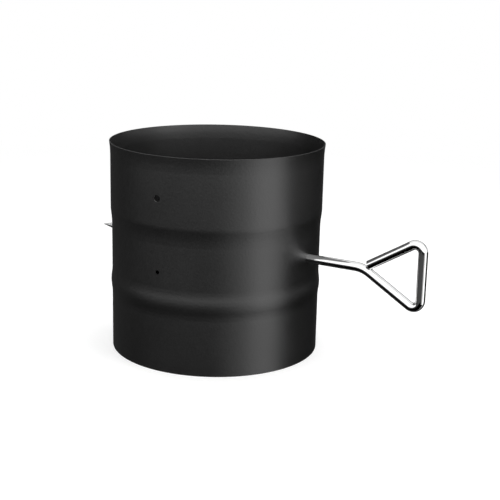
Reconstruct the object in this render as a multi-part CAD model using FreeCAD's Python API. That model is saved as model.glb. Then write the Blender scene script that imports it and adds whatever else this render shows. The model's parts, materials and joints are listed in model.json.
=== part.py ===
import FreeCAD, Part
import math
import os

# Stove pipe damper: a short flue pipe with a round plate inside, turned by a bent rod.
# Millimetres and degrees. The pipe's axis is Z, its lower rim is at Z = 0, and the handle points along +X.

# Pipe
PIPE_LENGTH = 150.0
PIPE_OUTER_DIA = 150.0
PIPE_WALL = 0.8
SOCKET_DEPTH = 47.1
SLIP_CLEARANCE = 0.15
STEP_HEIGHT = 13.3
STEP_EDGE_SHARE = 0.22
FLARE_HEIGHT = 10.4
FLARE_OUT = 0.72
BEAD_HEIGHT = 49.2
BEAD_WIDTH = 20.5
BEAD_RISE = 0.8
BEAD_CREST_SHARE = 0.4
SCREW_HOLE_DIA = 5.0
SCREW_HOLE_BELOW_RIM = 28.7
PIN_HOLE_DIA = 3.0
PIN_HOLE_BELOW_ROD = 4.7

# Rod and handle
ROD_DIA = 6.35
ROD_HEIGHT = 75.0
RUNNING_CLEARANCE = 0.08
TIP_OVERHANG = 26.6
TIP_LENGTH = 13.5
TIP_END_DIA = 0.4
HANDLE_NECK = 42.0
HANDLE_DEPTH = 42.4
HANDLE_HALF_ANGLE = 31.0
NECK_BEND_RADIUS = 20.0
CORNER_BEND_RADIUS = 5.3
WELD_SINK = 0.3

# Plate
PLATE_THICKNESS = 1.5
PLATE_EDGE_GAP = 1.5
STRAP_COUNT = 5
STRAP_SLIT = 1.0
STRAP_CLEARANCE = 0.1
STRAP_BEND_RADIUS = 1.5
STRAP_FLANGE = 1.5
VENT_COUNT = 4
VENT_DIA = 22.0

# Rivets
RIVET_DIA = 3.2
RIVET_CLEARANCE = 0.05
RIVET_HEAD_DIA = 6.5
RIVET_HEAD_HEIGHT = 1.2
RIVET_TAIL_DIA = 4.6
RIVET_TAIL_HEIGHT = 1.6
RIVET_BRIM = 0.3
RIVET_BITE = 0.4

# Sizes that follow from the ones above
pipe_radius = PIPE_OUTER_DIA / 2
socket_radius = pipe_radius + SLIP_CLEARANCE + PIPE_WALL
rod_radius = ROD_DIA / 2
plate_radius = pipe_radius - PIPE_WALL - PLATE_EDGE_GAP
strap_pitch = 2 * plate_radius / STRAP_COUNT
strap_inner_radius = rod_radius + STRAP_CLEARANCE
strap_outer_radius = strap_inner_radius + PLATE_THICKNESS
tip_reach = pipe_radius + TIP_OVERHANG
neck_reach = pipe_radius + HANDLE_NECK

X_AXIS = FreeCAD.Vector(1, 0, 0)
Y_AXIS = FreeCAD.Vector(0, 1, 0)
Z_AXIS = FreeCAD.Vector(0, 0, 1)
ROD_CENTRE = FreeCAD.Vector(0, 0, ROD_HEIGHT)


def in_xz(across, up):
    return FreeCAD.Vector(across, 0, up)


def facing(angle):
    return in_xz(math.cos(angle), math.sin(angle))


def tangent_run(start, heading, moves):
    """Edges of a run of lines and tangent arcs in the XZ plane.

    A move is (length, None) for a line or (radius, turn) for an arc, where a positive turn bears left.
    """
    edges = []
    here = start
    angle = math.radians(heading)
    for size, turn in moves:
        if turn is None:
            there = here + facing(angle) * size
            edges.append(Part.LineSegment(here, there).toShape())
        else:
            sweep = math.radians(turn)
            side = math.copysign(math.pi / 2, sweep)
            centre = here + facing(angle + side) * size
            halfway = centre + facing(angle + sweep / 2 - side) * size
            there = centre + facing(angle + sweep - side) * size
            edges.append(Part.Arc(here, halfway, there).toShape())
            angle += sweep
        here = there
    return edges, here


def inside_of(moves, wall):
    """The same run one wall to its left: left turns tighten and right turns open."""
    return [(size if turn is None else size - math.copysign(wall, turn), turn) for size, turn in moves]


def pipe_moves():
    """The pipe's outer profile from the lower rim to the upper one."""
    bead_turn = 2 * math.degrees(math.atan2(BEAD_RISE, BEAD_WIDTH / 2))
    bead_radius = BEAD_WIDTH / 2 / math.sin(math.radians(bead_turn))
    bead_side = (bead_radius * (1 - BEAD_CREST_SHARE), -bead_turn)
    step_turn = 2 * math.degrees(math.atan2(socket_radius - pipe_radius, STEP_HEIGHT))
    step_radius = STEP_HEIGHT / math.sin(math.radians(step_turn))
    flare_turn = 2 * math.degrees(math.atan2(FLARE_OUT, FLARE_HEIGHT))
    flare_lean = math.sin(math.radians(flare_turn))
    flare_radius = (FLARE_HEIGHT - PIPE_WALL * flare_lean) / flare_lean
    spigot = BEAD_HEIGHT - BEAD_WIDTH / 2
    body = PIPE_LENGTH - SOCKET_DEPTH - STEP_HEIGHT - spigot - BEAD_WIDTH
    socket = SOCKET_DEPTH - FLARE_HEIGHT
    return [
        (spigot, None),
        bead_side,
        (bead_radius * BEAD_CREST_SHARE, 2 * bead_turn),
        bead_side,
        (body, None),
        (step_radius * (1 - STEP_EDGE_SHARE), -step_turn),
        (step_radius * STEP_EDGE_SHARE, step_turn),
        (socket, None),
        (flare_radius, -flare_turn),
    ]


def make_pipe_body():
    moves = pipe_moves()
    outer_start = in_xz(pipe_radius, 0)
    inner_start = in_xz(pipe_radius - PIPE_WALL, 0)
    outer, outer_end = tangent_run(outer_start, 90, moves)
    inner, inner_end = tangent_run(inner_start, 90, inside_of(moves, PIPE_WALL))
    lower_rim = Part.LineSegment(inner_start, outer_start).toShape()
    upper_rim = Part.LineSegment(outer_end, inner_end).toShape()
    section = Part.Face(Part.Wire(Part.__sortEdges__(outer + [upper_rim] + inner + [lower_rim])))
    shell = section.revolve(FreeCAD.Vector(), Z_AXIS, 360)

    past_wall = socket_radius + FLARE_OUT + PIPE_WALL
    rod_hole = Part.makeCylinder(
        rod_radius + RUNNING_CLEARANCE, 2 * past_wall, ROD_CENTRE - X_AXIS * past_wall, X_AXIS)
    screw_hole = Part.makeCylinder(
        SCREW_HOLE_DIA / 2, past_wall, Z_AXIS * (PIPE_LENGTH - SCREW_HOLE_BELOW_RIM), -Y_AXIS)
    pin_hole = Part.makeCylinder(
        PIN_HOLE_DIA / 2, past_wall, Z_AXIS * (ROD_HEIGHT - PIN_HOLE_BELOW_ROD), -Y_AXIS)
    return shell.cut([rod_hole, screw_hole, pin_hole])


def strap_centre(index):
    return (index + 0.5) * strap_pitch - plate_radius


def passes_over_rod(index):
    """Straps pass under and over the rod by turns, and the outermost ones pass under it."""
    return index % 2 == 1


def rivet_places():
    """The rivets go through the straps that pass over the rod."""
    return [strap_centre(index) for index in range(STRAP_COUNT) if passes_over_rod(index)]


def rivet_hole(place):
    reach = strap_outer_radius + RIVET_HEAD_HEIGHT
    foot = ROD_CENTRE + X_AXIS * place - Z_AXIS * reach
    return Part.makeCylinder(RIVET_DIA / 2 + RIVET_CLEARANCE, 2 * reach, foot)


def round_bar(edges):
    path = Part.Wire(edges)
    first = path.OrderedEdges[0]
    start = first.valueAt(first.FirstParameter)
    along = first.tangentAt(first.FirstParameter)
    disc = Part.Face(Part.Wire(Part.makeCircle(rod_radius, start, along)))
    return path.makePipe(disc)


def make_handle_rod():
    half = math.radians(HANDLE_HALF_ANGLE)
    corner_turn = 90 + HANDLE_HALF_ANGLE
    neck_tangent = NECK_BEND_RADIUS * math.tan(half / 2)
    corner_tangent = CORNER_BEND_RADIUS * math.tan(math.radians(corner_turn / 2))
    leg = HANDLE_DEPTH / math.cos(half)
    bar = 2 * HANDLE_DEPTH * math.tan(half)
    tip_start = in_xz(-tip_reach, ROD_HEIGHT)
    shaft_start = tip_start + X_AXIS * TIP_LENGTH
    bent, bent_end = tangent_run(shaft_start, 0, [
        (tip_reach - TIP_LENGTH + neck_reach - neck_tangent, None),
        (NECK_BEND_RADIUS, -HANDLE_HALF_ANGLE),
        (leg - neck_tangent - corner_tangent, None),
        (CORNER_BEND_RADIUS, corner_turn),
        (bar - 2 * corner_tangent, None),
        (CORNER_BEND_RADIUS, corner_turn),
    ])

    # The free end stops where its lower corner sinks by the weld into the leg that leaves the neck.
    end_from_neck = (rod_radius - WELD_SINK + rod_radius * math.cos(2 * half)) / math.sin(2 * half)
    return_leg, _ = tangent_run(
        bent_end, 180 + HANDLE_HALF_ANGLE, [(leg - corner_tangent - end_from_neck, None)])
    point = Part.makeCone(TIP_END_DIA / 2, rod_radius, TIP_LENGTH, tip_start, X_AXIS)
    rod = round_bar(bent).fuse([round_bar(return_leg), point]).removeSplitter()
    return rod.cut([rivet_hole(place) for place in rivet_places()])


def strap_section(over_rod):
    """Closed outline of a strap across the rod, in the YZ plane, and its half width."""
    bend_middle = STRAP_BEND_RADIUS + PLATE_THICKNESS / 2
    arch_middle = strap_inner_radius + PLATE_THICKNESS / 2
    reach = math.sqrt((arch_middle + bend_middle) ** 2 - bend_middle ** 2)
    lean = math.degrees(math.atan2(bend_middle, reach))
    half_width = reach + STRAP_FLANGE

    def skin(bend, arch, height):
        start = in_xz(-half_width, height)
        edges, end = tangent_run(start, 0, [
            (STRAP_FLANGE, None),
            (bend, 90 - lean),
            (arch, -2 * (90 - lean)),
            (bend, 90 - lean),
            (STRAP_FLANGE, None),
        ])
        return edges, start, end

    upper, upper_start, upper_end = skin(STRAP_BEND_RADIUS, strap_outer_radius, PLATE_THICKNESS / 2)
    lower, lower_start, lower_end = skin(
        STRAP_BEND_RADIUS + PLATE_THICKNESS, strap_inner_radius, -PLATE_THICKNESS / 2)
    ends = [
        Part.LineSegment(lower_start, upper_start).toShape(),
        Part.LineSegment(upper_end, lower_end).toShape(),
    ]
    outline = Part.Wire(Part.__sortEdges__(upper + lower + ends))
    outline.rotate(FreeCAD.Vector(), Z_AXIS, 90)
    if not over_rod:
        outline.rotate(FreeCAD.Vector(), X_AXIS, 180)
    return outline, half_width


def make_damper_plate():
    bottom = ROD_HEIGHT - PLATE_THICKNESS / 2
    disc = Part.makeCylinder(plate_radius, PLATE_THICKNESS, Z_AXIS * bottom)
    _, half_width = strap_section(True)
    window = Part.makeBox(
        2 * plate_radius, 2 * (half_width - STRAP_FLANGE), PLATE_THICKNESS,
        FreeCAD.Vector(-plate_radius, STRAP_FLANGE - half_width, bottom))

    strap_length = strap_pitch - STRAP_SLIT
    straps = []
    for index in range(STRAP_COUNT):
        outline, _ = strap_section(passes_over_rod(index))
        outline.translate(ROD_CENTRE + X_AXIS * (strap_centre(index) - strap_length / 2))
        straps.append(Part.Face(outline).extrude(X_AXIS * strap_length))

    rim_trim = Part.makeCylinder(
        plate_radius, 2 * strap_outer_radius, Z_AXIS * (ROD_HEIGHT - strap_outer_radius))
    pressed = disc.cut(window).fuse(straps).common(rim_trim).removeSplitter()

    vent_ring = (plate_radius + half_width) / 2
    vents = []
    for index in range(VENT_COUNT):
        bearing = 2 * math.pi * (index + 0.5) / VENT_COUNT
        centre = FreeCAD.Vector(math.cos(bearing), math.sin(bearing), 0) * vent_ring + Z_AXIS * bottom
        vents.append(Part.makeCylinder(VENT_DIA / 2, PLATE_THICKNESS, centre))
    return pressed.cut(vents + [rivet_hole(place) for place in rivet_places()])


def set_head(diameter, height, centre, bar_radius, up):
    """A domed rivet head on a round bar along X, drawn down to follow the bar."""
    radius = diameter / 2
    sag = bar_radius - math.sqrt(bar_radius ** 2 - radius ** 2)
    dome_height = height - RIVET_BRIM
    ball_radius = (radius ** 2 + dome_height ** 2) / (2 * dome_height)
    skirt_foot = centre + up * (bar_radius - sag)
    dome_foot = centre + up * (bar_radius + RIVET_BRIM)
    skirt = Part.makeCylinder(radius, sag + RIVET_BRIM, skirt_foot, up)
    ball = Part.makeSphere(ball_radius, dome_foot + up * (dome_height - ball_radius))
    dome = ball.common(Part.makeCylinder(radius, dome_height, dome_foot, up))
    bar = Part.makeCylinder(bar_radius, 2 * diameter, centre - X_AXIS * diameter, X_AXIS)
    return skirt.fuse(dome).cut(bar)


def make_plate_rivets():
    """Each rivet's head is set on its strap, and its tail on the underside of the rod."""
    shank_length = rod_radius + strap_outer_radius + 2 * RIVET_BITE
    rivets = []
    for place in rivet_places():
        centre = ROD_CENTRE + X_AXIS * place
        head = set_head(RIVET_HEAD_DIA, RIVET_HEAD_HEIGHT, centre, strap_outer_radius, Z_AXIS)
        tail = set_head(RIVET_TAIL_DIA, RIVET_TAIL_HEIGHT, centre, rod_radius, -Z_AXIS)
        shank = Part.makeCylinder(RIVET_DIA / 2, shank_length, centre - Z_AXIS * (rod_radius + RIVET_BITE))
        rivets.append(head.fuse([tail, shank]).removeSplitter())
    return Part.makeCompound(rivets)


os.makedirs("parts", exist_ok=True)
pieces = {
    "pipe_body": make_pipe_body(),
    "handle_rod": make_handle_rod(),
    "damper_plate": make_damper_plate(),
    "plate_rivets": make_plate_rivets(),
}
for node, shape in pieces.items():
    shape.exportStep(os.path.join("parts", node + ".step"))
    print(node, "solids", len(shape.Solids), "valid", shape.isValid(), "volume", round(shape.Volume, 1))
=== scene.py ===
import json
import math

import bpy
from mathutils import Matrix, Vector

# Stove pipe damper: finishes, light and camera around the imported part. Metres and degrees.

# Camera, measured from the pipe's axis. The rod is turned away from the picture plane by ROD_TURN.
ROD_TURN = 31.39
CAMERA_AWAY = 0.7917
CAMERA_RIGHT = 0.0018
CAMERA_HEIGHT = 0.2801
CAMERA_YAW = 1.659
CAMERA_PITCH = -14.863
CAMERA_ROLL = 1.352
CAMERA_LENS = 80.94

# Lamps. Bearings go round the pipe from the camera's side to its right. Aim is a height on the axis.
LAMPS = {
    "key": dict(bearing=53, distance=0.9, height=0.35, aim=0.35, width=0.5, tall=0.7, power=5.0),
    "fill": dict(bearing=-30, distance=0.9, height=0.34, aim=0.1, width=1.0, tall=0.4, power=2.2),
    "top": dict(bearing=180, distance=0.1, height=1.1, aim=0.0, width=0.9, tall=0.9, power=11.0),
}
AMBIENT = 0.35

# Cards that only gloss shows, on a sphere: first and last bearing, lowest and highest elevation, glow
CARD_RADIUS = 10.0
CARD_STEP = 4
CARDS = {
    "key_card": (38, 74, -33, 0, 1.55),
    "key_edge": (14, 38, -33, 0, 0.55),
    "key_tail": (60, 74, -90, -33, 0.8),
    "key_foot": (14, 60, -90, -33, 0.0),
    "key_sky": (38, 74, 0, 90, 2.0),
    "front_sky": (-96, 38, 0, 90, 1.34),
    "front_high": (-110, 14, -11, 0, 0.0),
    "front_strip": (-110, 14, -20, -11, 0.07),
    "front_foot": (-110, 14, -90, -20, 0.0),
    "right_card": (74, 150, -90, 0, 0.0),
    "back_card": (150, 250, -90, 0, 0.06),
    "back_screen": (120, 264, 0, 30, 0.03),
}

# Painted shade: a dark disc, seen in gloss alone, that closes the pipe's foot for reflections just above
# the floor and stands for the floor in shade inside the pipe
FOOT_LIFT = 0.0004
FOOT_SHADE_GLOW = 0.0

# Floor. FLOOR_LIFT is the glow that keeps it pale, and beyond FLOOR_CLEAR it fades to white.
FLOOR_RADIUS = 0.9
FLOOR_SIDES = 96
FLOOR_CLEAR = 0.16
FLOOR_GREY = 0.6
FLOOR_LIFT = 0.5

# Most values of a noise lie between these two.
NOISE_LOW = 0.3
NOISE_HIGH = 0.7

# Sockets of the Mix node for colours, which have no names of their own
MIX_SHARE = 0
MIX_FIRST = 6
MIX_SECOND = 7
MIX_RESULT = 2

MM_PER_METRE = 1000

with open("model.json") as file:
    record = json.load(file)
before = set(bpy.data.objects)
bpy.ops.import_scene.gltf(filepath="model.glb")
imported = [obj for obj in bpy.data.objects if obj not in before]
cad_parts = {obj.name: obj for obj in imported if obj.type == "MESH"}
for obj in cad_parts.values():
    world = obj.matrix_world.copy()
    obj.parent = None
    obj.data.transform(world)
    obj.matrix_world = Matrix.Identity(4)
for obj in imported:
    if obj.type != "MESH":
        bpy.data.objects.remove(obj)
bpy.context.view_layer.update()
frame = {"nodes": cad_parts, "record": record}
cad_nodes = frame["nodes"]
mounts = {mount["name"]: mount for mount in frame["record"]["mounts"]}
foot_radius = mounts["lower_spigot"]["dims"]["r_mm"] / MM_PER_METRE


def from_axis(right, away, up):
    """A point given as the camera sees it: to the right, away from the camera and up."""
    return Matrix.Rotation(math.radians(ROD_TURN), 3, "Z") @ Vector((right, away, up))


def on_bearing(bearing, distance, up):
    """A point out from the pipe's axis, in the direction of the bearing."""
    angle = math.radians(bearing)
    return from_axis(distance * math.sin(angle), -distance * math.cos(angle), up)


def grey(value):
    """A neutral colour."""
    return (value, value, value, 1)


WHITE = grey(1)


class Nodes:
    """A node tree to which nodes are added one by one, each with its inputs."""

    def __init__(self, tree):
        self.tree = tree

    def add(self, kind, inputs=None, **settings):
        """A new node, with its settings and its inputs."""
        node = self.tree.nodes.new("ShaderNode" + kind)
        for key, value in settings.items():
            setattr(node, key, value)
        self.feed(node, inputs or {})
        return node

    def feed(self, node, inputs):
        """Links each input to a socket, or sets it to a constant."""
        for key, value in inputs.items():
            socket = node.inputs[key]
            if isinstance(value, bpy.types.NodeSocket):
                self.tree.links.new(value, socket)
            else:
                socket.default_value = value

    def math(self, operation, first, second):
        """The result of a sum on two values."""
        return self.add("Math", {0: first, 1: second}, operation=operation).outputs[0]

    def seen_white(self):
        """1 for rays that come from the camera, from gloss or through glass, and 0 for the rest."""
        path = self.add("LightPath").outputs
        share = path["Is Camera Ray"]
        for ray in ("Is Glossy Ray", "Is Transmission Ray"):
            share = self.math("MAXIMUM", share, path[ray])
        return share


class Shader(Nodes):
    """A material with the nodes that its finish is made of."""

    def __init__(self, name):
        self.material = bpy.data.materials.new(name)
        self.material.use_nodes = True
        super().__init__(self.material.node_tree)
        self.surface = self.tree.nodes["Principled BSDF"]

    def show(self, surface):
        """Puts another surface in the place of the usual one."""
        self.tree.nodes.remove(self.surface)
        self.feed(self.tree.nodes["Material Output"], {"Surface": surface})

    def glow(self, strength):
        """A surface that shines white."""
        return self.add("Emission", {"Color": WHITE, "Strength": strength}).outputs[0]

    def position(self, squeeze=(1, 1, 1)):
        """The place on the piece in metres, times the squeeze along each axis."""
        place = self.add("TexCoord").outputs["Object"]
        return self.add("Mapping", {"Vector": place, "Scale": squeeze}).outputs["Vector"]

    def noise(self, width, detail, squeeze=(1, 1, 1)):
        """Noise from 0 to 1 with blotches of about that width, drawn out along a squeezed axis."""
        inputs = {"Vector": self.position(squeeze), "Scale": 1 / width, "Detail": detail}
        return self.add("TexNoise", inputs).outputs["Fac"]

    def spread(self, value, low, high, start=NOISE_LOW, end=NOISE_HIGH):
        """The value's stretch from start to end, carried over to the range from low to high."""
        inputs = {"Value": value, "From Min": start, "From Max": end, "To Min": low, "To Max": high}
        return self.add("MapRange", inputs).outputs["Result"]

    def blend(self, share, first, second):
        """A colour between two others."""
        inputs = {MIX_SHARE: share, MIX_FIRST: first, MIX_SECOND: second}
        return self.add("Mix", inputs, data_type="RGBA").outputs[MIX_RESULT]

    def bump(self, height, depth, strength, under=None):
        """The surface's direction with this height on it, over another bump where one is given."""
        inputs = {"Height": height, "Distance": depth, "Strength": strength}
        if under is not None:
            inputs["Normal"] = under
        return self.add("Bump", inputs).outputs["Normal"]


def satin_paint():
    """Satin black heat-resistant paint: fine grain, slight orange peel and cloudy gloss."""
    shader = Shader("satin_paint")
    grain = shader.noise(width=0.0004, detail=4)
    peel = shader.noise(width=0.0016, detail=2)
    cloud = shader.noise(width=0.045, detail=3)

    cloudy = shader.spread(cloud, low=0.38, high=0.42)
    speckled = shader.spread(grain, low=-0.03, high=0.03)
    fine = shader.bump(grain, depth=0.00003, strength=0.25)
    shader.feed(shader.surface, {
        "Base Color": shader.blend(shader.spread(grain, low=0, high=1), grey(0.002), grey(0.004)),
        "Roughness": shader.math("ADD", cloudy, speckled),
        "Specular IOR Level": 1.0,
        "Normal": shader.bump(peel, depth=0.00012, strength=0.5, under=fine),
    })
    return shader.material


def polished_rod():
    """Polished bright rod: faint drawing lines along it and soft blotches in the polish."""
    shader = Shader("polished_rod")
    lines = shader.noise(width=0.0005, detail=3, squeeze=(0.03, 1, 1))
    blotch = shader.noise(width=0.012, detail=3)

    polish = shader.spread(blotch, low=0.05, high=0.09)
    drawn = shader.spread(lines, low=0, high=0.03)
    shader.feed(shader.surface, {
        "Base Color": shader.blend(shader.spread(blotch, low=0, high=1), grey(0.80), grey(0.87)),
        "Metallic": 1.0,
        "Roughness": shader.math("ADD", polish, drawn),
    })
    return shader.material


def mill_steel():
    """Mill-finish sheet: rolling lines along the rod and cloudy oxide."""
    shader = Shader("mill_steel")
    rolled = shader.noise(width=0.0006, detail=4, squeeze=(0.02, 1, 1))
    cloud = shader.noise(width=0.02, detail=4)

    oxide = shader.blend(shader.spread(cloud, low=0, high=1), grey(0.15), grey(0.21))
    cloudy = shader.spread(cloud, low=0.34, high=0.44)
    lined = shader.spread(rolled, low=0, high=0.08)
    shader.feed(shader.surface, {
        "Base Color": shader.blend(shader.spread(rolled, low=0, high=0.35), oxide, grey(0.11)),
        "Metallic": 1.0,
        "Roughness": shader.math("ADD", cloudy, lined),
        "Normal": shader.bump(rolled, depth=0.00002, strength=0.2),
    })
    return shader.material


def set_rivet():
    """Satin steel with the small dents of the setting tool."""
    shader = Shader("set_rivet")
    dents = shader.noise(width=0.0012, detail=2)
    stain = shader.noise(width=0.003, detail=4)

    shader.feed(shader.surface, {
        "Base Color": shader.blend(shader.spread(stain, low=0, high=1), grey(0.48), grey(0.60)),
        "Metallic": 1.0,
        "Roughness": shader.spread(stain, low=0.26, high=0.38),
        "Normal": shader.bump(dents, depth=0.00005, strength=0.3),
    })
    return shader.material


def dress(node, material):
    """Puts the material on a CAD node."""
    piece = cad_nodes[node]
    piece.data.materials.clear()
    piece.data.materials.append(material)


def make_object(name, data):
    """A new object in the scene, for a mesh, a lamp or the camera."""
    thing = bpy.data.objects.new(name, data)
    bpy.context.scene.collection.objects.link(thing)
    return thing


def make_world():
    """White to the eye and in reflections, and a soft even light for the rest."""
    world = bpy.data.worlds.new("studio")
    world.use_nodes = True
    bpy.context.scene.world = world
    studio = Nodes(world.node_tree)
    strength = studio.add("MapRange", {"Value": studio.seen_white(), "To Min": AMBIENT, "To Max": 1})
    background = world.node_tree.nodes["Background"]
    studio.feed(background, {"Color": WHITE, "Strength": strength.outputs["Result"]})


def make_floor():
    """A pale round floor that keeps the object's shadow, is unlit inside the pipe and fades to white."""
    bpy.ops.mesh.primitive_circle_add(vertices=FLOOR_SIDES, radius=FLOOR_RADIUS, fill_type="NGON")
    floor = bpy.context.object
    floor.name = "floor"
    shader = Shader("floor")
    place = shader.add("VectorMath", {0: shader.position()}, operation="LENGTH").outputs["Value"]
    fade = shader.spread(place, low=0, high=1, start=FLOOR_CLEAR, end=FLOOR_RADIUS)
    paint = shader.add("BsdfDiffuse", {"Color": grey(FLOOR_GREY)}).outputs[0]

    around = shader.math("GREATER_THAN", place, foot_radius)
    lit = shader.glow(shader.math("MULTIPLY", around, FLOOR_LIFT))
    near = shader.add("AddShader", {0: paint, 1: lit}).outputs[0]
    seen = shader.add("MixShader", {0: fade, 1: near, 2: shader.glow(1)}).outputs[0]
    shader.show(shader.add("MixShader", {0: shader.seen_white(), 1: paint, 2: seen}).outputs[0])
    floor.data.materials.append(shader.material)
    floor.visible_glossy = False


def make_softbox(name, bearing, distance, height, aim, width, tall, power):
    """A lamp that lights the part but shows neither to the camera nor in gloss."""
    lamp = bpy.data.lights.new(name, "AREA")
    lamp.shape = "RECTANGLE"
    lamp.size = width
    lamp.size_y = tall
    lamp.energy = power
    box = make_object(name, lamp)
    box.location = on_bearing(bearing, distance, height)
    box.rotation_euler = (Vector((0, 0, aim)) - box.location).to_track_quat("-Z", "Y").to_euler()
    box.visible_camera = False
    box.visible_glossy = False


def make_card(name, corners, faces, glow):
    """A card that shows in gloss alone."""
    mesh = bpy.data.meshes.new(name)
    mesh.from_pydata(corners, [], faces)
    shader = Shader(name)
    shader.show(shader.glow(glow))
    mesh.materials.append(shader.material)
    card = make_object(name, mesh)
    card.visible_camera = False
    card.visible_diffuse = False
    card.visible_shadow = False
    card.visible_transmission = False


def even_steps(start, end):
    """Angles from start to end, about CARD_STEP apart."""
    count = max(1, round((end - start) / CARD_STEP))
    return [start + (end - start) * step / count for step in range(count + 1)]


def make_patch(name, start, end, low, high, glow):
    """A card that is a patch of a sphere about the part."""
    columns = even_steps(start, end)
    rows = even_steps(low, high)
    corners = []
    for row in rows:
        out = CARD_RADIUS * math.cos(math.radians(row))
        up = CARD_RADIUS * math.sin(math.radians(row))
        corners += [on_bearing(column, out, up) for column in columns]
    width = len(columns)
    faces = []
    for row in range(len(rows) - 1):
        for place in range(row * width, row * width + width - 1):
            faces.append((place, place + 1, place + width + 1, place + width))
    make_card(name, corners, faces, glow)


def make_cards():
    """Light and dark cards about the part, which draw the bands that gloss and metal show."""
    for name, patch in CARDS.items():
        make_patch(name, *patch)
    # Painted shade: a black disc that gloss sees in place of the shaded floor inside the pipe's foot
    foot = [on_bearing(bearing, foot_radius, FOOT_LIFT) for bearing in even_steps(0, 360)[:-1]]
    make_card("foot_shade_card", foot, [tuple(range(len(foot)))], FOOT_SHADE_GLOW)


def make_camera():
    """The photo's camera. Untilted it looks straight down, so 90 degrees bring it level."""
    data = bpy.data.cameras.new("photo_camera")
    data.lens = CAMERA_LENS
    camera = make_object("photo_camera", data)
    heading = Matrix.Rotation(math.radians(ROD_TURN - CAMERA_YAW), 4, "Z")
    tilt = Matrix.Rotation(math.radians(90 + CAMERA_PITCH), 4, "X")
    roll = Matrix.Rotation(math.radians(CAMERA_ROLL), 4, "Z")
    at = from_axis(CAMERA_RIGHT, -CAMERA_AWAY, CAMERA_HEIGHT)
    camera.matrix_world = Matrix.Translation(at) @ heading @ tilt @ roll
    bpy.context.scene.camera = camera


dress("pipe_body", satin_paint())
dress("handle_rod", polished_rod())
dress("damper_plate", mill_steel())
dress("plate_rivets", set_rivet())
make_world()
make_floor()
for lamp_name, lamp_values in LAMPS.items():
    make_softbox(lamp_name, **lamp_values)
make_cards()
make_camera()
bpy.context.scene.view_settings.view_transform = "Standard"
